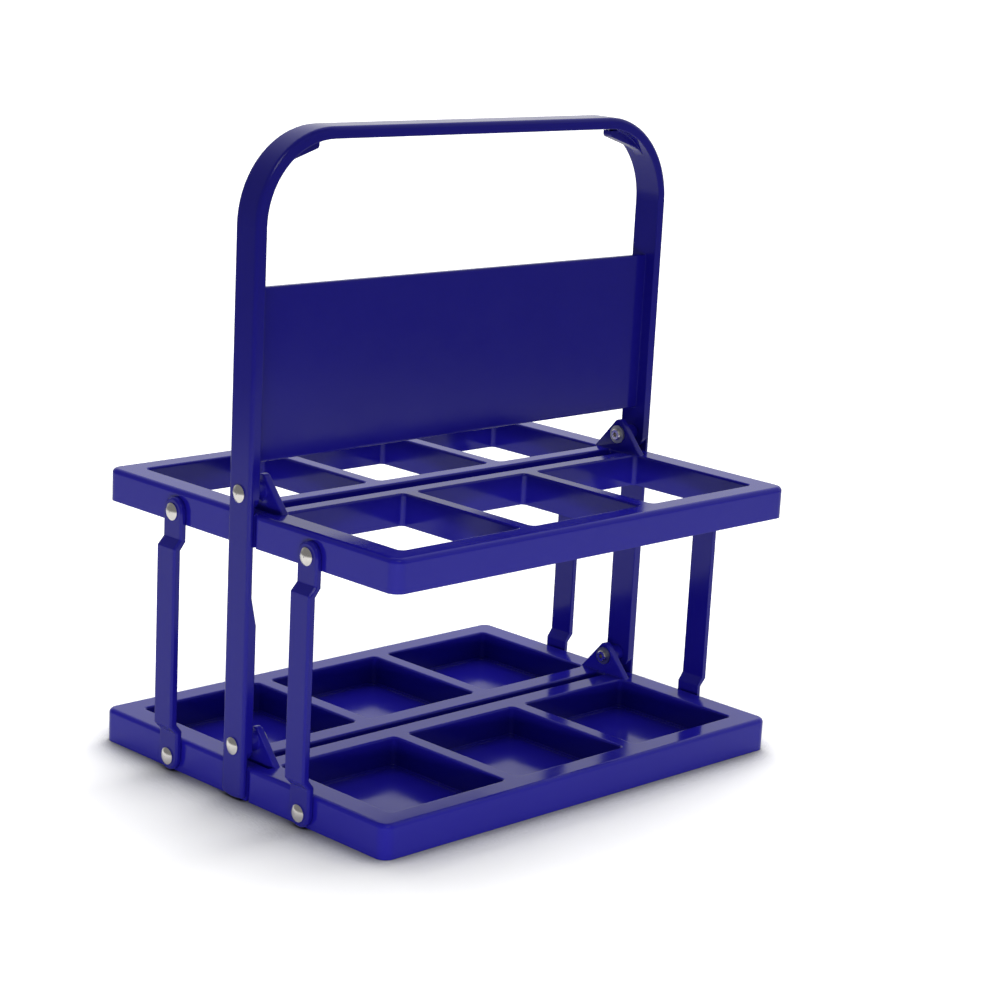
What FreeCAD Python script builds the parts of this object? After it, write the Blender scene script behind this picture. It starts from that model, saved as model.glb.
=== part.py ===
import FreeCAD, Part
import math
import os
from FreeCAD import Vector

# Foldable carrier for six bottles: a tray and an open frame, held level by four
# struts and by the two legs of a tall handle. All sizes are millimetres.
# X runs along the length, Y from front to back, Z up. The origin is under the
# middle of the tray, on the floor.

# Both mouldings share one outline.
length = 270.0
width = 215.0
corner_radius = 6.0
top_edge_radius = 2.4
skin = 2.4
cells_per_row = 3
cell_corner_radius = 2.5
slot_corner_radius = 1.2
mouth_radius = 1.2

# Tray: closed pockets that hold the foot of a bottle.
tray_height = 17.0
tray_end_rim = 15.0
tray_side_rim = 13.4
tray_divider = 9.0
tray_slot_half = 2.8
tray_rail_outer = 14.7
tray_floor = 2.4
floor_step_inset = 2.6
floor_step_depth = 0.4

# Frame: open cells that hold the shoulder of a bottle.
frame_height = 16.4
frame_end_rim = 14.0
frame_side_rim = 12.5
frame_divider = 8.5
frame_slot_half = 4.9
frame_rail_outer = 13.7

# Linkage: struts and handle legs turn about pivots the same distance apart,
# so the frame stays level while it swings down.
link_length = 124.6
strut_pivot_y = 50.3
strut_pivot_z = 7.4
strut_pivot_in_frame = 5.9
frame_bottom = strut_pivot_z + link_length - strut_pivot_in_frame
leg_pivot_z = 26.6

# Running clearances.
side_play = 0.3
head_play = 0.1
pin_play = 0.05

# Rivets and their backing washers.
shank_radius = 2.0
head_radius = 4.3
head_height = 1.9
head_rim = 0.5
tail_radius = 3.1
tail_height = 1.5
tail_bevel = 0.5
tail_bore_radius = 1.2
tail_bore_depth = 4.0
washer_radius = 4.8
washer_thickness = 1.0

# Handle strap.
strap_width = 16.0
strap_thickness = 5.8
strap_round = 1.8
leg_proud = 3.0
foot_clearance = 0.4
foot_corner_radius = 2.2
bend_radius = 45.0
thin_thickness = 2.75
pad_margin = 0.3
ramp_length = 14.0
fold_angle = 50.0
fold_clearance = 1.0

# Name panel between the legs of the handle, and the opening for the hand above it.
panel_above_pivot = 14.1
panel_height = 82.7
panel_thickness = 3.5
panel_edge_radius = 0.8
grip_opening = 67.7

# Tongues under the two upper corners of the handle.
tongue_thickness = 5.5
tongue_gap = 1.5
tongue_tip_past_bend = 5.2
tongue_tip_radius = 1.8
tongue_slot_past_bend = 9.5
tongue_slope = 18.0
tongue_blend_radius = 18.0
tongue_blend_angle = 33.0
tongue_blend_depth = 0.2
tongue_root_angles = (36.0, 48.0, 60.0, 70.0)

# Ears that carry the handle pivots. The rim has a window under each boss.
ear_setback = 10.0
ear_thickness = 3.8
ear_half_base = 16.4
ear_apex_height = 18.6
ear_tip_radius = 3.6
ear_edge_radius = 0.6
ear_root = 3.0
boss_radius = 4.4
boss_root_radius = 0.8
window_width = 2.8
window_half = 15.2

# Grooves in the end walls, one along each edge of the leg that stands between them.
groove_clearance = 0.4
groove_land_inset = 0.6
groove_depth = 2.0
groove_lip_radius = 1.8

# Struts.
strut_width = 14.0
tab_thickness = 3.0
strut_offset = 3.1
strut_mid_thickness = 3.6
joggle_start = 13.0
joggle_end = 17.0
joggle_lag = 1.0
strut_edge_bevel = 0.9
strut_end_flat = 0.05

# Stiffening webs in the hollow underside.
web_thickness = 1.8
web_lift = 2.5
web_from_pivot = 11.0

half_length = length / 2
half_width = width / 2
leg_outer_x = half_length + leg_proud
leg_inner_x = leg_outer_x - strap_thickness
leg_thin_x = leg_outer_x - thin_thickness
ear_outer_x = half_length - ear_setback
ear_inner_x = ear_outer_x - ear_thickness
boss_end_x = leg_inner_x - side_play
tab_inner_x = half_length + side_play
tab_outer_x = tab_inner_x + tab_thickness
hole_radius = shank_radius + pin_play
upper_leg_pivot_z = leg_pivot_z + link_length
upper_strut_pivot_z = strut_pivot_z + link_length
pad_radius = strap_width / 2 + pad_margin
foot_radius = leg_pivot_z - foot_clearance
panel_bottom = upper_leg_pivot_z + panel_above_pivot
panel_top = panel_bottom + panel_height
grip_under_z = panel_top + grip_opening
handle_height = grip_under_z + strap_thickness
bend_centre_x = leg_outer_x - bend_radius
bend_centre_z = handle_height - bend_radius
inner_bend_radius = bend_radius - strap_thickness
tongue_tip_x = bend_centre_x + tongue_tip_past_bend
tongue_slot_x = bend_centre_x + tongue_slot_past_bend
groove_outer = strap_width / 2 + groove_clearance
groove_inner = strap_width / 2 - groove_land_inset

# Cutters run this far past the faces that they cut, and sizes this close are equal.
past = 1.0
tolerance = 0.01

sides = (("left", -1), ("right", 1))
rows = (("front", -1), ("rear", 1))


def box(x0, x1, y0, y1, z0, z1):
    """Box between two corners, given in any order."""
    corner = Vector(min(x0, x1), min(y0, y1), min(z0, z1))
    return Part.makeBox(abs(x1 - x0), abs(y1 - y0), abs(z1 - z0), corner)


def rod_x(x0, x1, y, z, radius):
    """Cylinder along X between two planes."""
    start = Vector(min(x0, x1), y, z)
    return Part.makeCylinder(radius, abs(x1 - x0), start, Vector(1, 0, 0))


def rounded_box(x0, x1, y0, y1, z0, z1, radius):
    """Box whose four upright edges are rounded."""
    solid = box(x0, x1, y0, y1, z0, z1)
    upright = []
    for edge in solid.Edges:
        bounds = edge.BoundBox
        if bounds.XLength < tolerance and bounds.YLength < tolerance:
            upright.append(edge)
    return solid.makeFillet(radius, upright)


def prism_x(points, x0, x1):
    """Polygon of (y, z) points, extruded along X."""
    low = min(x0, x1)
    corners = [Vector(low, y, z) for y, z in points]
    corners.append(corners[0])
    face = Part.Face(Part.makePolygon(corners))
    return face.extrude(Vector(abs(x1 - x0), 0, 0))


def prism_y(points, y0, y1):
    """Polygon of (x, z) points, extruded along Y."""
    corners = [Vector(x, y0, z) for x, z in points]
    corners.append(corners[0])
    face = Part.Face(Part.makePolygon(corners))
    return face.extrude(Vector(0, y1 - y0, 0))


def mirror_x(solid):
    """Copy on the other side of the YZ plane."""
    return solid.mirror(Vector(0, 0, 0), Vector(1, 0, 0))


def top_edges(solid, z, inside):
    """Level edges at height z, of the outline or of the openings inside it."""
    found = []
    for edge in solid.Edges:
        bounds = edge.BoundBox
        level = abs(bounds.ZMin - z) < tolerance and abs(bounds.ZMax - z) < tolerance
        reach_x = max(abs(bounds.XMin), abs(bounds.XMax))
        reach_y = max(abs(bounds.YMin), abs(bounds.YMax))
        on_outline = reach_x > half_length - tolerance or reach_y > half_width - tolerance
        if level and on_outline != inside:
            found.append(edge)
    return found


def cell_spans(end_rim, divider):
    """X spans of the cells in one row."""
    first = -(half_length - end_rim)
    gaps = cells_per_row - 1
    span = (-2 * first - gaps * divider) / cells_per_row
    spans = []
    for index in range(cells_per_row):
        start = first + index * (span + divider)
        spans.append((start, start + span))
    return spans


def ear(pivot_z, rim_z):
    """Right-hand ear with its boss: a plate on the rim that carries the leg pivot."""
    apex_z = rim_z + ear_apex_height
    outline = (
        (-ear_half_base, rim_z),
        (-ear_half_base, rim_z - ear_root),
        (ear_half_base, rim_z - ear_root),
        (ear_half_base, rim_z),
        (0, apex_z),
    )
    plate = prism_x(outline, ear_inner_x, ear_outer_x)
    tip = []
    for edge in plate.Edges:
        bounds = edge.BoundBox
        if bounds.XLength > ear_thickness - tolerance and bounds.ZMin > apex_z - tolerance:
            tip.append(edge)
    plate = plate.makeFillet(ear_tip_radius, tip)
    rim = []
    for edge in plate.Edges:
        bounds = edge.BoundBox
        if bounds.XLength < tolerance and bounds.ZMax > rim_z + tolerance:
            rim.append(edge)
    plate = plate.makeFillet(ear_edge_radius, rim)
    plate = plate.fuse(rod_x(ear_outer_x - past, boss_end_x, 0, pivot_z, boss_radius))
    root = []
    for edge in plate.Edges:
        bounds = edge.BoundBox
        round_boss = abs(bounds.ZLength - 2 * boss_radius) < tolerance
        if round_boss and abs(bounds.XMin - ear_outer_x) < tolerance:
            root.append(edge)
    return plate.makeFillet(boss_root_radius, root)


def groove_tool(side, z0, z1):
    """Upright groove in the right-hand end wall beside the leg, with a rounded lip."""
    floor_x = half_length - groove_depth
    outer_x = half_length + past
    tool = box(floor_x, outer_x, side * groove_inner, side * groove_outer, z0, z1)
    lip_x = half_length - groove_lip_radius
    lip_y = side * (groove_outer + groove_lip_radius)
    lip = box(lip_x, outer_x, side * groove_inner, lip_y, z0, z1)
    start = Vector(lip_x, lip_y, z0 - past)
    round_off = Part.makeCylinder(groove_lip_radius, z1 - z0 + 2 * past, start)
    return tool.fuse(lip.cut(round_off))


def moulding(z0, height, end_rim, side_rim, divider, slot_half, rail_outer, floor,
             strut_z, leg_z):
    """Rimmed grid of six cells, hollow from below, with an ear at each end."""
    z1 = z0 + height
    inner_x = half_length - end_rim
    inner_y = half_width - side_rim
    below = z0 - past
    above = z1 + past
    cell_bottom = below
    if floor > 0:
        cell_bottom = z0 + floor
    spans = cell_spans(end_rim, divider)

    body = rounded_box(-half_length, half_length, -half_width, half_width, z0, z1, corner_radius)
    slot = rounded_box(-inner_x, inner_x, -slot_half, slot_half, below, above, slot_corner_radius)
    body = body.cut(slot)
    for x0, x1 in spans:
        for row, side in rows:
            cell = rounded_box(x0, x1, side * rail_outer, side * inner_y,
                               cell_bottom, above, cell_corner_radius)
            body = body.cut(cell)
    body = body.makeFillet(top_edge_radius, top_edges(body, z1, False))
    body = body.makeFillet(mouth_radius, top_edges(body, z1, True))

    # The rims, rails and dividers are channels, open from below.
    hollow = rounded_box(-half_length + skin, half_length - skin, -half_width + skin,
                         half_width - skin, below, z1 - skin, corner_radius - skin)
    wall_radius = cell_corner_radius + skin
    for x0, x1 in spans:
        for row, side in rows:
            near = side * (rail_outer - skin)
            far = side * (inner_y + skin)
            keep = rounded_box(x0 - skin, x1 + skin, near, far, below, z1, wall_radius)
            hollow = hollow.cut(keep)
    hollow = hollow.cut(box(-inner_x - skin, inner_x + skin, -slot_half - skin,
                            slot_half + skin, below, z1))

    # Behind the leg the end wall is thicker, and under the ear the inner wall is.
    # Webs cross the channels: one in the middle of each cell on the long sides, and
    # one each side of every strut rivet on the end walls.
    web_bottom = z0 + web_lift
    backing_x = half_length - groove_depth - skin
    backing_y = groove_outer + groove_lip_radius + skin
    for name, end in sides:
        hollow = hollow.cut(box(end * backing_x, end * half_length, -backing_y, backing_y,
                                below, z1))
        hollow = hollow.cut(box(end * inner_x, end * ear_outer_x, -ear_half_base,
                                ear_half_base, web_bottom, z1))
    for x0, x1 in spans:
        middle = (x0 + x1) / 2
        for row, side in rows:
            web = box(middle - web_thickness / 2, middle + web_thickness / 2,
                      side * inner_y, side * half_width, web_bottom, z1)
            hollow = hollow.cut(web)
    for name, end in sides:
        for row, side in rows:
            for step in (-1, 1):
                middle = side * strut_pivot_y + step * web_from_pivot
                web = box(end * inner_x, end * half_length, middle - web_thickness / 2,
                          middle + web_thickness / 2, web_bottom, z1)
                hollow = hollow.cut(web)
    body = body.cut(hollow)

    if floor > 0:
        for x0, x1 in spans:
            for row, side in rows:
                near = side * (rail_outer + floor_step_inset)
                far = side * (inner_y - floor_step_inset)
                step = rounded_box(x0 + floor_step_inset, x1 - floor_step_inset, near, far,
                                   cell_bottom - floor_step_depth, cell_bottom + past,
                                   cell_corner_radius)
                body = body.cut(step)

    for name, end in sides:
        window = box(end * ear_outer_x, end * (ear_outer_x + window_width), -window_half,
                     window_half, z1 - skin - past, above)
        body = body.cut(window)
    right_ear = ear(leg_z, z1)
    body = body.fuse(right_ear)
    body = body.fuse(mirror_x(right_ear))
    for row, side in rows:
        groove = groove_tool(side, below, above)
        body = body.cut(groove)
        body = body.cut(mirror_x(groove))
    for name, end in sides:
        ear_hole = rod_x(end * (ear_inner_x - past), end * (boss_end_x + past), 0, leg_z,
                         hole_radius)
        body = body.cut(ear_hole)
        for row, side in rows:
            wall_hole = rod_x(end * (half_length - skin - past), end * (half_length + past),
                              side * strut_pivot_y, strut_z, hole_radius)
            body = body.cut(wall_hole)
    return body.removeSplitter()


def strut(end, side):
    """Flat strut with cranked ends. Its middle stands clear of the handle leg."""
    low_z = strut_pivot_z
    high_z = upper_strut_pivot_z
    reach = strut_width
    mid_inner = tab_inner_x + strut_offset
    mid_outer = mid_inner + strut_mid_thickness
    profile = (
        (tab_inner_x, low_z - reach),
        (tab_outer_x, low_z - reach),
        (tab_outer_x, low_z + joggle_start),
        (mid_outer, low_z + joggle_end),
        (mid_outer, high_z - joggle_end),
        (tab_outer_x, high_z - joggle_start),
        (tab_outer_x, high_z + reach),
        (tab_inner_x, high_z + reach),
        (tab_inner_x, high_z - joggle_start - joggle_lag),
        (mid_inner, high_z - joggle_end - joggle_lag),
        (mid_inner, low_z + joggle_end + joggle_lag),
        (tab_inner_x, low_z + joggle_start + joggle_lag),
    )
    plate = prism_y(profile, -strut_width / 2, strut_width / 2)
    blank = box(tab_inner_x - past, mid_outer + past, -strut_width / 2, strut_width / 2,
                low_z - strut_width / 2, high_z + strut_width / 2)
    ends = []
    for edge in blank.Edges:
        bounds = edge.BoundBox
        if bounds.YLength < tolerance and bounds.ZLength < tolerance:
            ends.append(edge)
    blank = blank.makeFillet(strut_width / 2 - strut_end_flat, ends)
    bar = plate.common(blank)
    rim = []
    for edge in bar.Edges:
        middle = edge.valueAt((edge.FirstParameter + edge.LastParameter) / 2)
        bounds = edge.BoundBox
        along_y = bounds.YLength > strut_width - tolerance and bounds.ZLength < tolerance
        outer = middle.x > tab_outer_x - tolerance
        in_joggle = low_z + joggle_start < middle.z < low_z + joggle_end
        in_joggle = in_joggle or high_z - joggle_end < middle.z < high_z - joggle_start
        inner_mid = not in_joggle and abs(middle.x - mid_inner) < tolerance
        if outer and not along_y and not inner_mid:
            rim.append(edge)
    bar = bar.makeChamfer(strut_edge_bevel, rim)
    for z in (low_z, high_z):
        bar = bar.cut(rod_x(tab_inner_x - past, mid_outer + past, 0, z, hole_radius))
    bar.translate(Vector(0, side * strut_pivot_y, 0))
    if end < 0:
        bar = mirror_x(bar)
    return bar


def handle_strap():
    """Legs and grip in one bent strap with rounded edges."""
    def arc(centre_x, radius, start_angle, end_angle):
        points = []
        for angle in (start_angle, (start_angle + end_angle) / 2, end_angle):
            turn = math.radians(angle)
            x = centre_x + radius * math.cos(turn)
            z = bend_centre_z + radius * math.sin(turn)
            points.append(Vector(x, -strap_width / 2, z))
        return Part.Arc(points[0], points[1], points[2]).toShape()

    def line(x0, z0, x1, z1):
        start = Vector(x0, -strap_width / 2, z0)
        return Part.makeLine(start, Vector(x1, -strap_width / 2, z1))

    edges = [
        line(leg_outer_x, 0, leg_outer_x, bend_centre_z),
        arc(bend_centre_x, bend_radius, 0, 90),
        line(bend_centre_x, handle_height, -bend_centre_x, handle_height),
        arc(-bend_centre_x, bend_radius, 90, 180),
        line(-leg_outer_x, bend_centre_z, -leg_outer_x, 0),
        line(-leg_outer_x, 0, -leg_inner_x, 0),
        line(-leg_inner_x, 0, -leg_inner_x, bend_centre_z),
        arc(-bend_centre_x, inner_bend_radius, 180, 90),
        line(-bend_centre_x, grip_under_z, bend_centre_x, grip_under_z),
        arc(bend_centre_x, inner_bend_radius, 90, 0),
        line(leg_inner_x, bend_centre_z, leg_inner_x, 0),
        line(leg_inner_x, 0, leg_outer_x, 0),
    ]
    outline = Part.Wire(Part.__sortEdges__(edges))
    strap = Part.Face(outline).extrude(Vector(0, strap_width, 0))

    # The foot of each leg is an arc about its lower pivot.
    foot_z = leg_pivot_z - math.sqrt(foot_radius ** 2 - strap_width ** 2 / 4)
    below_foot = box(-leg_outer_x, leg_outer_x, -strap_width, strap_width, -past, foot_z)
    swing = rod_x(-leg_outer_x, leg_outer_x, 0, leg_pivot_z, foot_radius)
    strap = strap.cut(below_foot.cut(swing))
    feet = []
    for edge in strap.Edges:
        bounds = edge.BoundBox
        across = bounds.YLength < tolerance and bounds.ZLength < tolerance
        if across and bounds.ZMax < leg_pivot_z:
            feet.append(edge)
    strap = strap.makeFillet(foot_corner_radius, feet)

    # Rounding of every edge on the outer side, from foot to foot.
    outer = []
    for edge in strap.Edges:
        bounds = edge.BoundBox
        middle = edge.valueAt((edge.FirstParameter + edge.LastParameter) / 2)
        on_side = bounds.YLength < tolerance
        on_foot = middle.z < leg_pivot_z
        along = bounds.XLength < tolerance or not on_foot
        turn_x = abs(middle.x) - bend_centre_x
        turn_z = middle.z - bend_centre_z
        reach = 0.0
        if turn_x > 0 and turn_z > 0:
            reach = math.hypot(turn_x, turn_z)
        outside = abs(middle.x) > leg_outer_x - tolerance
        outside = outside or middle.z > handle_height - tolerance
        outside = outside or reach > bend_radius - tolerance
        if outside and along and (on_side or on_foot):
            outer.append(edge)
    return strap.makeFillet(strap_round, outer)


def tongue():
    """Right-hand tongue that lies under the grip at the bend, with a narrow slot over it."""
    half = tongue_thickness / 2
    top = grip_under_z - tongue_gap
    middle_radius = bend_radius - strap_thickness / 2

    # The lower edge is a slope that an arc blends into the inner face of the bend.
    blend = math.radians(tongue_blend_angle)
    offset = inner_bend_radius - tongue_blend_radius + tongue_blend_depth
    centre_x = bend_centre_x + offset * math.cos(blend)
    centre_z = bend_centre_z + offset * math.sin(blend)
    slope = math.radians(tongue_slope)

    def on_blend(turn):
        x = centre_x + tongue_blend_radius * math.cos(turn)
        return Vector(x, -half, centre_z + tongue_blend_radius * math.sin(turn))

    steep = math.pi / 2 - slope
    arc_start = on_blend(steep)
    arc_end = on_blend(blend)
    arc = Part.Arc(arc_start, on_blend((steep + blend) / 2), arc_end).toShape()
    tip_bottom = arc_start.z + (arc_start.x - tongue_tip_x) * math.tan(slope)
    corners = [arc_end]
    for angle in tongue_root_angles:
        turn = math.radians(angle)
        corners.append(Vector(bend_centre_x + middle_radius * math.cos(turn), -half,
                              bend_centre_z + middle_radius * math.sin(turn)))
    corners.append(Vector(tongue_slot_x, -half, grip_under_z + tongue_gap))
    corners.append(Vector(tongue_slot_x, -half, top))
    corners.append(Vector(tongue_tip_x, -half, top))
    corners.append(Vector(tongue_tip_x, -half, tip_bottom))
    corners.append(arc_start)
    edges = [arc]
    for start, end in zip(corners, corners[1:]):
        edges.append(Part.makeLine(start, end))
    outline = Part.Wire(Part.__sortEdges__(edges))
    solid = Part.Face(outline).extrude(Vector(0, tongue_thickness, 0))
    tip = []
    for edge in solid.Edges:
        bounds = edge.BoundBox
        across = bounds.XLength < tolerance and bounds.ZLength < tolerance
        on_tip = abs(bounds.XMin - tongue_tip_x) < tolerance
        if across and on_tip and bounds.ZMax < top - tolerance:
            tip.append(edge)
    return solid.makeFillet(tongue_tip_radius, tip)


def handle():
    """Strap, name panel and corner tongues, with holes for the leg rivets."""
    body = handle_strap()
    panel_end = leg_inner_x + past
    panel = box(-panel_end, panel_end, -panel_thickness / 2, panel_thickness / 2,
                panel_bottom, panel_top)
    level = []
    for edge in panel.Edges:
        bounds = edge.BoundBox
        if bounds.YLength < tolerance and bounds.ZLength < tolerance:
            level.append(edge)
    panel = panel.makeFillet(panel_edge_radius, level)
    body = body.fuse(panel)
    right_tongue = tongue()
    body = body.fuse(right_tongue)
    body = body.fuse(mirror_x(right_tongue))

    # Below each pivot the leg is cut thin, so that it swings past the end walls.
    # The upper cut ends where the leg still clears the frame at the fold angle.
    fold = math.radians(fold_angle)
    frame_drop = upper_leg_pivot_z - frame_bottom
    cut_length = (frame_drop + strap_width / 2 * math.sin(fold)) / math.cos(fold)
    thin_low = upper_leg_pivot_z - cut_length - fold_clearance
    inside_x = leg_inner_x - past
    upper_cut = prism_y((
        (leg_inner_x, thin_low - ramp_length),
        (leg_thin_x, thin_low),
        (leg_thin_x, upper_leg_pivot_z),
        (inside_x, upper_leg_pivot_z),
        (inside_x, thin_low - ramp_length),
    ), -strap_width, strap_width)
    lower_cut = box(inside_x, leg_thin_x, -strap_width, strap_width, -past, leg_pivot_z)
    for z, cut in ((upper_leg_pivot_z, upper_cut), (leg_pivot_z, lower_cut)):
        pad = rod_x(inside_x - past, leg_outer_x, 0, z, pad_radius)
        right_cut = cut.cut(pad)
        body = body.cut(right_cut)
        body = body.cut(mirror_x(right_cut))
        for name, end in sides:
            pin_hole = rod_x(end * (leg_inner_x - past), end * (leg_outer_x + past), 0, z,
                             hole_radius)
            body = body.cut(pin_hole)
    return body


def rivet(head_x, seat_x):
    """Semi-tubular rivet along X: domed head outside, rolled tail inside the washer."""
    tail_x = seat_x - washer_thickness
    end_x = tail_x - tail_height
    dome_x = head_x + head_height
    side_x = head_x + head_rim
    start = Vector(end_x, 0, tail_bore_radius)
    bore_x = end_x + tail_bore_depth
    path = [
        Part.makeLine(start, Vector(end_x, 0, tail_radius - tail_bevel)),
        Part.makeLine(Vector(end_x, 0, tail_radius - tail_bevel),
                      Vector(end_x + tail_bevel, 0, tail_radius)),
        Part.makeLine(Vector(end_x + tail_bevel, 0, tail_radius), Vector(tail_x, 0, tail_radius)),
        Part.makeLine(Vector(tail_x, 0, tail_radius), Vector(tail_x, 0, shank_radius)),
        Part.makeLine(Vector(tail_x, 0, shank_radius), Vector(head_x, 0, shank_radius)),
        Part.makeLine(Vector(head_x, 0, shank_radius), Vector(head_x, 0, head_radius)),
        Part.makeLine(Vector(head_x, 0, head_radius), Vector(side_x, 0, head_radius)),
    ]
    rise = head_height - head_rim
    dome_radius = (head_radius ** 2 + rise ** 2) / (2 * rise)
    half_angle = math.asin(head_radius / dome_radius) / 2
    centre_x = dome_x - dome_radius
    middle = Vector(centre_x + dome_radius * math.cos(half_angle), 0,
                    dome_radius * math.sin(half_angle))
    path.append(Part.Arc(Vector(side_x, 0, head_radius), middle, Vector(dome_x, 0, 0)).toShape())
    path.append(Part.makeLine(Vector(dome_x, 0, 0), Vector(bore_x, 0, 0)))
    path.append(Part.makeLine(Vector(bore_x, 0, 0), Vector(bore_x, 0, tail_bore_radius)))
    path.append(Part.makeLine(Vector(bore_x, 0, tail_bore_radius), start))
    face = Part.Face(Part.Wire(path))
    return face.revolve(Vector(0, 0, 0), Vector(1, 0, 0), 360)


def washer(seat_x):
    """Backing washer whose outer face is against the plastic at seat_x."""
    disc = rod_x(seat_x - washer_thickness, seat_x, 0, 0, washer_radius)
    bore = rod_x(seat_x - washer_thickness - past, seat_x + past, 0, 0, hole_radius)
    return disc.cut(bore)


def place(solid, end, y, z):
    """Move a right-hand part from the X axis to its pivot, at either end."""
    moved = solid.copy()
    moved.translate(Vector(0, y, z))
    if end < 0:
        moved = mirror_x(moved)
    return moved


def build():
    """All nodes by name."""
    nodes = {}
    nodes["bottom_tray"] = moulding(0.0, tray_height, tray_end_rim, tray_side_rim, tray_divider,
                                    tray_slot_half, tray_rail_outer, tray_floor,
                                    strut_pivot_z, leg_pivot_z)
    nodes["top_frame"] = moulding(frame_bottom, frame_height, frame_end_rim, frame_side_rim,
                                  frame_divider, frame_slot_half, frame_rail_outer, 0.0,
                                  upper_strut_pivot_z, upper_leg_pivot_z)
    nodes["handle"] = handle()

    wall_seat = half_length - skin
    leg_rivet = rivet(leg_outer_x + head_play, ear_inner_x)
    leg_washer = washer(ear_inner_x)
    strut_rivet = rivet(tab_outer_x + head_play, wall_seat)
    strut_washer = washer(wall_seat)
    levels = (("lower", leg_pivot_z, strut_pivot_z),
              ("upper", upper_leg_pivot_z, upper_strut_pivot_z))
    for end_name, end in sides:
        for level, leg_z, strut_z in levels:
            nodes[f"leg_rivet_{level}_{end_name}"] = place(leg_rivet, end, 0, leg_z)
            nodes[f"leg_washer_{level}_{end_name}"] = place(leg_washer, end, 0, leg_z)
        for row_name, side in rows:
            where = f"{row_name}_{end_name}"
            nodes[f"strut_{where}"] = strut(end, side)
            y = side * strut_pivot_y
            for level, leg_z, strut_z in levels:
                nodes[f"strut_rivet_{level}_{where}"] = place(strut_rivet, end, y, strut_z)
                nodes[f"strut_washer_{level}_{where}"] = place(strut_washer, end, y, strut_z)
    return nodes


os.makedirs("parts", exist_ok=True)
for node, shape in build().items():
    shape.exportStep(f"parts/{node}.step")
    print(node, len(shape.Solids), shape.isValid(), round(shape.Volume))
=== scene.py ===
import math

import bpy
from bpy.props import FloatProperty, FloatVectorProperty, PointerProperty
from mathutils import Matrix, Vector

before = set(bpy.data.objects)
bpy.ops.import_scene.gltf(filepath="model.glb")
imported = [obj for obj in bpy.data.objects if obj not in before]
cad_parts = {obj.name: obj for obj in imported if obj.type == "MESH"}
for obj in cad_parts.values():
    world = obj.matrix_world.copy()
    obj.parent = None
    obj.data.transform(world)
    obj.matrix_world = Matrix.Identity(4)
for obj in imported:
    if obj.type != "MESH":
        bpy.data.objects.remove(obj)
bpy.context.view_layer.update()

bl_info = {
    "name": "Foldable Bottle Carrier",
    "version": (1, 0, 0),
    "blender": (4, 5, 0),
    "location": "3D View > Sidebar > Carrier",
    "description": "Finishes a folding bottle carrier and sets it on a pale studio floor",
    "category": "Object",
}

MM = 0.001
PLAIN_SHADE = 1.0

# Patterns of the moulded plastic: sizes as on the real skin, heights of its waves.
DRIFT_SIZE = 90 * MM
DRIFT_DETAIL = 2.0
PATCH_SIZE = 18 * MM
PATCH_DETAIL = 4.0
PATCH_FROM = 0.35
PATCH_TO = 0.75
PATCH_SMOOTHER = 0.02
PATCH_DULLER = 0.05
RIPPLE_DETAIL = 1.0
RIPPLE_HEIGHT = 0.25 * MM
RIPPLE_STRENGTH = 0.05
EDGE_SAMPLES = 8
POLYPROPYLENE_IOR = 1.49

# Marks on the plated metal.
MARK_DETAIL = 6.0
MARK_DEPTH = 0.05 * MM
MARK_STRENGTH = 0.12
MARK_SMOOTHER = 0.06
MARK_DULLER = 0.1

CONTACT_SAMPLES = 8
WHITE = (1.0, 1.0, 1.0, 1.0)
UP_HIGH = (0.0, 0.0, 2.0)

TRAYS = ("bottom_tray", "top_frame")
LINKS = ("handle", "strut_front_left", "strut_front_right", "strut_rear_left",
         "strut_rear_right")


def linear(code):
    """Linear colour, with a full alpha, of an sRGB hex value such as #1D1895."""
    values = []
    for start in (1, 3, 5):
        level = int(code[start:start + 2], 16) / 255
        if level <= 0.04045:
            values.append(level / 12.92)
        else:
            values.append(((level + 0.055) / 1.055) ** 2.4)
    values.append(1.0)
    return tuple(values)


class CarrierPlastic(bpy.types.PropertyGroup):
    """Moulded polypropylene of the tray, frame, handle and struts."""

    colour: FloatVectorProperty(
        name="Colour", description="Violet blue of the moulded plastic", subtype="COLOR", size=4,
        min=0, max=1, default=linear("#1D1895"))
    colour_deep: FloatVectorProperty(
        name="Deep colour", description="Slightly deeper blue that drifts through the plastic",
        subtype="COLOR", size=4, min=0, max=1, default=linear("#1A158B"))
    link_shade: FloatProperty(
        name="Link shade", description="Colour of the handle and struts against the trays",
        min=0, max=1, default=0.78)
    gloss_roughness: FloatProperty(
        name="Roughness", description="Roughness of the glossy moulded skin", min=0, max=1,
        default=0.13)
    skin_shine: FloatProperty(
        name="Skin shine", description="Share of the reflection left by the fine mould texture",
        min=0, max=1, default=0.3)
    tray_edge_radius: FloatProperty(
        name="Tray edge radius", description="Softening of the sharp edges of the mouldings",
        unit="LENGTH", min=0, default=0.4 * MM)
    link_edge_radius: FloatProperty(
        name="Link edge radius", description="Softening of the edges of the handle and struts",
        unit="LENGTH", min=0, default=0.8 * MM)
    ripple_size: FloatProperty(
        name="Ripple size", description="Distance between the faint waves of the moulded skin",
        unit="LENGTH", min=0.1 * MM, default=9 * MM)


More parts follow.
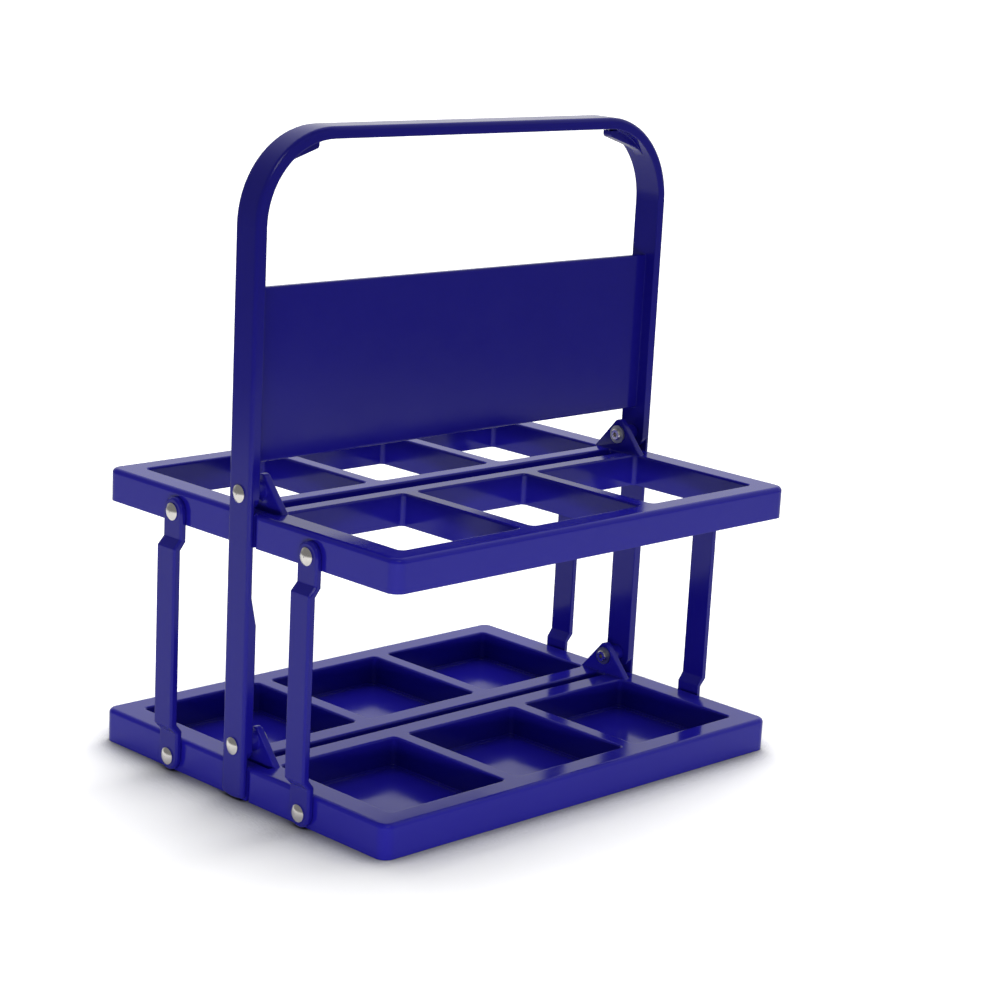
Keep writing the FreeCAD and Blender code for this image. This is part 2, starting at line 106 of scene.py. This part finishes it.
class CarrierMetal(bpy.types.PropertyGroup):
    """Rivets and their backing washers."""

    rivet_colour: FloatVectorProperty(
        name="Rivet colour", description="Bright nickel plating of the rivet heads",
        subtype="COLOR", size=4, min=0, max=1, default=linear("#EFEBE6"))
    rivet_roughness: FloatProperty(
        name="Rivet roughness", description="Roughness of the plated heads", min=0, max=1,
        default=0.16)
    washer_colour: FloatVectorProperty(
        name="Washer colour", description="Zinc plating of the washers", subtype="COLOR", size=4,
        min=0, max=1, default=linear("#AEB0B0"))
    washer_roughness: FloatProperty(
        name="Washer roughness", description="Roughness of the zinc", min=0, max=1, default=0.38)
    scratch_size: FloatProperty(
        name="Scratch size", description="Distance between the fine marks on the metal",
        unit="LENGTH", min=0.05 * MM, default=0.4 * MM)


class CarrierStage(bpy.types.PropertyGroup):
    """Floor, light and camera."""

    floor_size: FloatProperty(
        name="Floor size", description="Side of the square floor", unit="LENGTH", default=60.0)
    floor_colour: FloatVectorProperty(
        name="Floor colour", description="Pale floor", subtype="COLOR", size=4, min=0, max=1,
        default=linear("#F4F4F4"))
    floor_drop: FloatProperty(
        name="Floor drop", description="Gap that keeps the floor off the foot of the tray",
        unit="LENGTH", min=0, default=0.1 * MM)
    # Painted shade: the floor keeps its colour within this radius, then fades to the grey below
    # over the fade width.
    painted_falloff_start: FloatProperty(
        name="Sheet radius", description="Reach of the bright paper round the carrier",
        unit="LENGTH", min=0, default=0.6)
    painted_falloff_width: FloatProperty(
        name="Sheet fade", description="Distance over which the paper falls into the dark",
        unit="LENGTH", min=0.01, default=0.6)
    painted_falloff_colour: FloatVectorProperty(
        name="Room floor colour", description="Floor beyond the paper, out of the camera's sight",
        subtype="COLOR", size=4, min=0, max=1, default=linear("#808080"))
    floor_gain: FloatProperty(
        name="Floor gain", description="Brightening of the floor where the camera sees it",
        min=1, default=1.65)
    # Painted shadow: ambient occlusion darkens the floor's colour near the carrier, where the
    # camera sees it.
    painted_shadow_reach: FloatProperty(
        name="Contact reach", description="How far the contact shadow reaches over the floor",
        unit="LENGTH", min=0.001, default=0.16)
    painted_shadow_depth: FloatProperty(
        name="Contact depth", description="Power that deepens the contact shadow", min=0,
        default=1.7)
    floor_mirror_dim: FloatProperty(
        name="Mirror dimming", description="Dimming of the floor in reflections", min=0, max=1,
        default=0.15)
    backdrop_level: FloatProperty(
        name="Backdrop level", description="Brightness behind the carrier, in reflections",
        min=0, default=0.81)
    backdrop_turn: FloatProperty(
        name="Backdrop turn", description="Turn of the backdrop's glow away from the camera axis",
        subtype="ANGLE", default=math.radians(20))
    room_level: FloatProperty(
        name="Room level", description="Brightness on the side of the camera", min=0,
        default=0.2)
    key_strength: FloatProperty(
        name="Key strength", description="Soft light from above and behind", min=0, default=2.4)
    key_angle: FloatProperty(
        name="Key angle", description="Angular size of the light from behind", subtype="ANGLE",
        default=math.radians(66))
    key_height: FloatProperty(
        name="Key height", description="Height of the light above the horizon", subtype="ANGLE",
        default=math.radians(50))
    backdrop_low: FloatProperty(
        name="Backdrop from", description="Cosine from the line of sight where the glow starts",
        min=-1, max=1, default=-0.1)
    backdrop_high: FloatProperty(
        name="Backdrop to", description="Cosine from the line of sight where the glow is full",
        min=-1, max=1, default=0.9)
    fill_power: FloatProperty(
        name="Fill power", description="Power of the low strip light in front", min=0,
        default=0.8)
    fill_length: FloatProperty(
        name="Fill length", description="Length of the strip light", unit="LENGTH", min=0.01,
        default=1.3)
    fill_width: FloatProperty(
        name="Fill width", description="Height of the strip light itself", unit="LENGTH",
        min=0.01, default=0.06)
    fill_distance: FloatProperty(
        name="Fill distance", description="From the middle of the carrier to the strip light",
        unit="LENGTH", min=0.3, default=0.75)
    fill_height: FloatProperty(
        name="Fill height", description="Height of the strip light above the floor",
        unit="LENGTH", min=0.02, default=0.04)
    fill_spread: FloatProperty(
        name="Fill spread", description="Beam angle of the strip light", subtype="ANGLE",
        default=math.radians(60))
    front_turn: FloatProperty(
        name="Front turn", description="Softbox, turned from the camera towards the X end",
        subtype="ANGLE", default=math.radians(-20))
    front_distance: FloatProperty(
        name="Front distance", description="From the middle of the carrier to the softbox",
        unit="LENGTH", min=0.3, default=1.0)
    front_height: FloatProperty(
        name="Front height", description="Height of the softbox above the floor",
        unit="LENGTH", min=0.1, default=1.15)
    front_aim: FloatProperty(
        name="Front aim", description="Height on the carrier that the softbox faces",
        unit="LENGTH", default=0.2)
    front_size: FloatProperty(
        name="Front size", description="Side of the square softbox", unit="LENGTH", min=0.01,
        default=0.4)
    front_power: FloatProperty(
        name="Front power", description="Softbox in front, in watts", min=0, default=2.2)
    lens: FloatProperty(name="Lens", description="Focal length in millimetres", default=92.41)
    camera_place: FloatVectorProperty(
        name="Camera place", description="Where the camera stands", subtype="TRANSLATION",
        unit="LENGTH", default=(-0.87838, -0.91632, 0.43358))
    camera_heading: FloatProperty(
        name="Camera heading", description="Turn from the Y axis towards the X axis",
        subtype="ANGLE", default=math.radians(46.341))
    camera_tilt: FloatProperty(
        name="Camera tilt", description="Tilt above the horizon", subtype="ANGLE",
        default=math.radians(-14.643))
    camera_roll: FloatProperty(
        name="Camera roll", description="Turn about the line of sight", subtype="ANGLE",
        default=math.radians(3.404))
    camera_shift: FloatProperty(
        name="Camera shift", description="Sideways and upward shift that frames the carrier",
        default=0.06)


def add_node(material, kind, settings=None, links=None):
    """Add a shader node, set its properties or sockets, and link other sockets into it."""
    tree = material.node_tree
    node = tree.nodes.new(kind)
    for key, value in (settings or {}).items():
        if isinstance(key, str) and hasattr(node, key):
            setattr(node, key, value)
        else:
            node.inputs[key].default_value = value
    for key, socket in (links or {}).items():
        tree.links.new(socket, node.inputs[key])
    return node


def new_material(name):
    """Empty node material with its output."""
    material = bpy.data.materials.new(name)
    material.use_nodes = True
    material.node_tree.nodes.clear()
    output = add_node(material, "ShaderNodeOutputMaterial")
    return material, output


def link_surface(material, shader, output):
    """Send a shader to the surface of the material."""
    material.node_tree.links.new(shader.outputs[0], output.inputs["Surface"])


def shaded(colour, shade):
    """Darker copy of a colour."""
    return tuple(channel * shade for channel in colour[:3]) + (1.0,)


def moulded_polypropylene(name, settings, shade, edge_radius):
    """Glossy injection-moulded polypropylene.

    The eye sees a deep even colour under a clear skin reflection that wavers a little,
    because the wall shrinks as it cools, and edges that are never quite sharp. The IOR is
    that of polypropylene, and the low roughness is that of a polished mould.
    """
    material, output = new_material(name)
    place = add_node(material, "ShaderNodeTexCoord").outputs["Object"]
    drift = add_node(material, "ShaderNodeTexNoise",
                     {"Scale": 1 / DRIFT_SIZE, "Detail": DRIFT_DETAIL}, {"Vector": place})
    colour = add_node(material, "ShaderNodeMix", {"data_type": "RGBA"},
                      {"Factor": drift.outputs["Fac"]})
    colour.inputs[6].default_value = shaded(settings.colour, shade)
    colour.inputs[7].default_value = shaded(settings.colour_deep, shade)

    # Handling leaves the skin a touch duller in patches the size of a fingertip.
    patches = add_node(material, "ShaderNodeTexNoise",
                       {"Scale": 1 / PATCH_SIZE, "Detail": PATCH_DETAIL}, {"Vector": place})
    roughness = add_node(material, "ShaderNodeMapRange",
                         {"From Min": PATCH_FROM, "From Max": PATCH_TO,
                          "To Min": settings.gloss_roughness - PATCH_SMOOTHER,
                          "To Max": settings.gloss_roughness + PATCH_DULLER},
                         {"Value": patches.outputs["Fac"]})

    soft_edge = add_node(material, "ShaderNodeBevel",
                         {"samples": EDGE_SAMPLES, "Radius": edge_radius})
    ripple = add_node(material, "ShaderNodeTexNoise",
                      {"Scale": 1 / settings.ripple_size, "Detail": RIPPLE_DETAIL},
                      {"Vector": place})
    waves = add_node(material, "ShaderNodeBump",
                     {"Strength": RIPPLE_STRENGTH, "Distance": RIPPLE_HEIGHT},
                     {"Height": ripple.outputs["Fac"], "Normal": soft_edge.outputs["Normal"]})
    skin = add_node(material, "ShaderNodeBsdfPrincipled",
                    {"IOR": POLYPROPYLENE_IOR, "Specular IOR Level": settings.skin_shine},
                    {"Base Color": colour.outputs[2], "Roughness": roughness.outputs["Result"],
                     "Normal": waves.outputs["Normal"]})
    link_surface(material, skin, output)
    return material


def plated_metal(name, colour, roughness_value, scratch_size):
    """Plated steel, bright nickel or duller zinc.

    The eye sees a full metal reflection, broken by fine marks from the setting tool. The
    marks are drawn coarser than the real ones, or they wouldn't show.
    """
    material, output = new_material(name)
    place = add_node(material, "ShaderNodeTexCoord").outputs["Object"]
    marks = add_node(material, "ShaderNodeTexNoise",
                     {"Scale": 1 / scratch_size, "Detail": MARK_DETAIL}, {"Vector": place})
    roughness = add_node(material, "ShaderNodeMapRange",
                         {"To Min": roughness_value - MARK_SMOOTHER,
                          "To Max": roughness_value + MARK_DULLER},
                         {"Value": marks.outputs["Fac"]})
    dents = add_node(material, "ShaderNodeBump",
                     {"Strength": MARK_STRENGTH, "Distance": MARK_DEPTH},
                     {"Height": marks.outputs["Fac"]})
    metal = add_node(material, "ShaderNodeBsdfPrincipled", {"Metallic": 1.0},
                     {"Roughness": roughness.outputs["Result"], "Normal": dents.outputs["Normal"]})
    metal.inputs["Base Color"].default_value = colour
    link_surface(material, metal, output)
    return material


def studio_floor(settings):
    """White paper floor, bright round the carrier and darkened to grey beyond it by painted shade.

    The camera sees it white right to the horizon, with a painted contact shadow in its colour,
    and clear from below. Everything else gets light from the bright middle alone, as the paper
    fades to grey beyond a radius: painted shade in place of the light's fall-off, so that the
    walls are lit from below and the reflections fade with height.
    """
    material, output = new_material("studio_floor")
    place = add_node(material, "ShaderNodeTexCoord").outputs["Object"]
    reach = add_node(material, "ShaderNodeVectorMath", {"operation": "LENGTH"}, {0: place})
    edge = settings.painted_falloff_start + settings.painted_falloff_width
    bright = settings.floor_colour[0] * settings.floor_gain
    # Painted shade: for every ray but the camera's, the floor's colour fades to grey beyond the
    # radius.
    fall = add_node(material, "ShaderNodeMapRange",
                    {"interpolation_type": "SMOOTHSTEP", "From Min": settings.painted_falloff_start,
                     "From Max": edge},
                    {"Value": reach.outputs["Value"]})
    sight = add_node(material, "ShaderNodeLightPath")
    unseen = add_node(material, "ShaderNodeMath", {"operation": "SUBTRACT", 0: 1.0},
                      {1: sight.outputs["Is Camera Ray"]})
    beyond = add_node(material, "ShaderNodeMath", {"operation": "MULTIPLY"},
                      {0: fall.outputs["Result"], 1: unseen.outputs[0]})
    mirrored = add_node(material, "ShaderNodeMath",
                        {"operation": "MULTIPLY", 1: settings.floor_mirror_dim},
                        {0: sight.outputs["Is Glossy Ray"]})
    dark = add_node(material, "ShaderNodeMath", {"operation": "MAXIMUM"},
                    {0: beyond.outputs[0], 1: mirrored.outputs[0]})
    paper_with_painted_shade = add_node(material, "ShaderNodeMix", {"data_type": "RGBA"},
                          {"Factor": dark.outputs[0]})
    paper_with_painted_shade.inputs[6].default_value = settings.floor_colour
    paper_with_painted_shade.inputs[7].default_value = settings.painted_falloff_colour
    # Painted contact shadow: ambient occlusion, raised to a power, darkens the floor's colour
    # where the camera sees it.
    contact = add_node(material, "ShaderNodeAmbientOcclusion",
                       {"samples": CONTACT_SAMPLES, "Distance": settings.painted_shadow_reach})
    painted_contact_shadow = add_node(material, "ShaderNodeMath",
                        {"operation": "POWER", 1: settings.painted_shadow_depth},
                        {0: contact.outputs["AO"]})
    seen_with_painted_shadow = add_node(material, "ShaderNodeMath", {"operation": "MULTIPLY", 1: bright},
                    {0: painted_contact_shadow.outputs[0]})
    tone = add_node(material, "ShaderNodeMix", {"data_type": "RGBA"},
                    {"Factor": sight.outputs["Is Camera Ray"], 6: paper_with_painted_shade.outputs[2],
                     7: seen_with_painted_shadow.outputs[0]})
    paper = add_node(material, "ShaderNodeBsdfDiffuse", {}, {"Color": tone.outputs[2]})
    clear = add_node(material, "ShaderNodeBsdfTransparent")
    side = add_node(material, "ShaderNodeNewGeometry")
    sheet = add_node(material, "ShaderNodeMixShader", {},
                     {0: side.outputs["Backfacing"], 1: paper.outputs[0], 2: clear.outputs[0]})
    link_surface(material, sheet, output)
    return material


def dress(names, material):
    """Give CAD pieces one material."""
    for name in names:
        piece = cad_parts[name]
        piece.data.materials.clear()
        piece.data.materials.append(material)


class CARRIER_OT_mouldings(bpy.types.Operator):
    """Finish the tray, frame, handle and struts in glossy violet-blue plastic"""

    bl_idname = "carrier.mouldings"
    bl_label = "Mouldings"

    def execute(self, context):
        plastic = context.scene.carrier_plastic
        dress(TRAYS, moulded_polypropylene("tray_polypropylene", plastic, PLAIN_SHADE,
                                           plastic.tray_edge_radius))
        dress(LINKS, moulded_polypropylene("link_polypropylene", plastic, plastic.link_shade,
                                           plastic.link_edge_radius))
        return {"FINISHED"}


class CARRIER_OT_rivets(bpy.types.Operator):
    """Finish the rivets in bright plating and the washers in zinc"""

    bl_idname = "carrier.rivets"
    bl_label = "Rivets and washers"

    def execute(self, context):
        metal = context.scene.carrier_metal
        rivets = [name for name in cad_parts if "rivet" in name]
        washers = [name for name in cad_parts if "washer" in name]
        dress(rivets, plated_metal("bright_plating", metal.rivet_colour,
                                   metal.rivet_roughness, metal.scratch_size))
        dress(washers, plated_metal("zinc_plating", metal.washer_colour,
                                    metal.washer_roughness, metal.scratch_size))
        return {"FINISHED"}


class CARRIER_OT_stage(bpy.types.Operator):
    """Lay the floor, hang the lights and set the camera"""

    bl_idname = "carrier.stage"
    bl_label = "Stage"

    def execute(self, context):
        settings = context.scene.carrier_stage
        self.lay_floor(settings)
        self.light_world(context, settings)
        self.hang_key(settings)
        self.hang_strip(settings)
        self.hang_softbox(settings)
        self.set_camera(context, settings)
        context.scene.view_settings.view_transform = "Standard"
        return {"FINISHED"}

    def lay_floor(self, settings):
        bpy.ops.mesh.primitive_plane_add(size=settings.floor_size,
                                         location=(0, 0, -settings.floor_drop))
        floor = bpy.context.object
        floor.name = "floor"
        floor.data.materials.append(studio_floor(settings))

    def light_world(self, context, settings):
        """White for the camera; for light and mirror images, bright behind the carrier only."""
        world = bpy.data.worlds.new("studio")
        world.use_nodes = True
        world.node_tree.nodes.clear()
        output = add_node(world, "ShaderNodeOutputWorld")
        place = add_node(world, "ShaderNodeTexCoord").outputs["Generated"]
        heading = settings.camera_heading + settings.backdrop_turn
        behind = (math.sin(heading), math.cos(heading), 0.0)
        facing = add_node(world, "ShaderNodeVectorMath", {"operation": "DOT_PRODUCT", 1: behind},
                          {0: place})
        turn = add_node(world, "ShaderNodeMapRange",
                        {"interpolation_type": "SMOOTHSTEP",
                         "From Min": settings.backdrop_low, "From Max": settings.backdrop_high,
                         "To Min": settings.room_level, "To Max": settings.backdrop_level},
                        {"Value": facing.outputs["Value"]})
        sight = add_node(world, "ShaderNodeLightPath")
        level = add_node(world, "ShaderNodeMath", {"operation": "MAXIMUM"},
                         {0: turn.outputs["Result"], 1: sight.outputs["Is Camera Ray"]})
        sky = add_node(world, "ShaderNodeBackground", {"Color": WHITE},
                       {"Strength": level.outputs[0]})
        link_surface(world, sky, output)
        context.scene.world = world

    def hang_key(self, settings):
        """Large soft light from above and behind, which the plastic doesn't mirror."""
        bpy.ops.object.light_add(type="SUN", location=UP_HIGH)
        key = bpy.context.object
        key.name = "rear_key"
        key.data.energy = settings.key_strength
        key.data.angle = settings.key_angle
        key.visible_glossy = False
        heading = settings.camera_heading
        level = math.cos(settings.key_height)
        direction = Vector((-math.sin(heading) * level, -math.cos(heading) * level,
                            -math.sin(settings.key_height)))
        key.rotation_euler = direction.to_track_quat("-Z", "Y").to_euler()

    def hang_strip(self, settings):
        """Low strip light in front, which lifts the walls without a mirror image."""
        heading = settings.camera_heading
        away = Vector((math.sin(heading), math.cos(heading), 0.0))
        spot = -away * settings.fill_distance
        bpy.ops.object.light_add(type="AREA", location=(spot.x, spot.y, settings.fill_height))
        fill = bpy.context.object
        fill.name = "low_fill"
        fill.data.shape = "RECTANGLE"
        fill.data.size = settings.fill_length
        fill.data.size_y = settings.fill_width
        fill.data.energy = settings.fill_power
        fill.data.spread = settings.fill_spread
        fill.rotation_euler = away.to_track_quat("-Z", "Y").to_euler()
        fill.visible_camera = False
        fill.visible_glossy = False

    def hang_softbox(self, settings):
        """Raised softbox in front, whose image runs along the rounded edges and the rivets."""
        side_turn = settings.camera_heading + settings.front_turn
        spot = Vector((-math.sin(side_turn), -math.cos(side_turn), 0.0)) * settings.front_distance
        spot.z = settings.front_height
        bpy.ops.object.light_add(type="AREA", location=spot)
        front = bpy.context.object
        front.name = "front_softbox"
        front.data.size = settings.front_size
        front.data.energy = settings.front_power
        target = Vector((0.0, 0.0, settings.front_aim))
        front.rotation_euler = (target - spot).to_track_quat("-Z", "Y").to_euler()
        front.visible_camera = False

    def set_camera(self, context, settings):
        bpy.ops.object.camera_add()
        camera = bpy.context.object
        camera.name = "photo_camera"
        camera.data.lens = settings.lens
        camera.data.shift_x = -settings.camera_shift
        camera.data.shift_y = settings.camera_shift
        heading = settings.camera_heading
        tilt = settings.camera_tilt
        roll = settings.camera_roll
        ahead = Vector((math.sin(heading) * math.cos(tilt), math.cos(heading) * math.cos(tilt),
                        math.sin(tilt)))
        level_right = Vector((math.cos(heading), -math.sin(heading), 0.0))
        level_up = level_right.cross(ahead)
        right = level_right * math.cos(roll) + level_up * math.sin(roll)
        up = level_up * math.cos(roll) - level_right * math.sin(roll)
        turn = Matrix((right, up, -ahead)).transposed()
        camera.matrix_world = Matrix.Translation(settings.camera_place) @ turn.to_4x4()
        context.scene.camera = camera


class CARRIER_PT_panel(bpy.types.Panel):
    """Steps that finish and stage the carrier"""

    bl_idname = "CARRIER_PT_panel"
    bl_label = "Bottle carrier"
    bl_space_type = "VIEW_3D"
    bl_region_type = "UI"
    bl_category = "Carrier"

    def draw(self, context):
        for operator in OPERATORS:
            self.layout.operator(operator.bl_idname)
        for group in (context.scene.carrier_plastic, context.scene.carrier_metal,
                      context.scene.carrier_stage):
            box = self.layout.box()
            for name in group.bl_rna.properties.keys():
                if name not in ("rna_type", "name"):
                    box.prop(group, name)


GROUPS = (CarrierPlastic, CarrierMetal, CarrierStage)
OPERATORS = (CARRIER_OT_mouldings, CARRIER_OT_rivets, CARRIER_OT_stage)
CLASSES = GROUPS + OPERATORS + (CARRIER_PT_panel,)


def register():
    for cls in CLASSES:
        bpy.utils.register_class(cls)
    bpy.types.Scene.carrier_plastic = PointerProperty(type=CarrierPlastic)
    bpy.types.Scene.carrier_metal = PointerProperty(type=CarrierMetal)
    bpy.types.Scene.carrier_stage = PointerProperty(type=CarrierStage)


def unregister():
    del bpy.types.Scene.carrier_stage
    del bpy.types.Scene.carrier_metal
    del bpy.types.Scene.carrier_plastic
    for cls in reversed(CLASSES):
        bpy.utils.unregister_class(cls)


def main():
    register()
    bpy.ops.carrier.mouldings()
    bpy.ops.carrier.rivets()
    bpy.ops.carrier.stage()


if __name__ == "__main__":
    main()
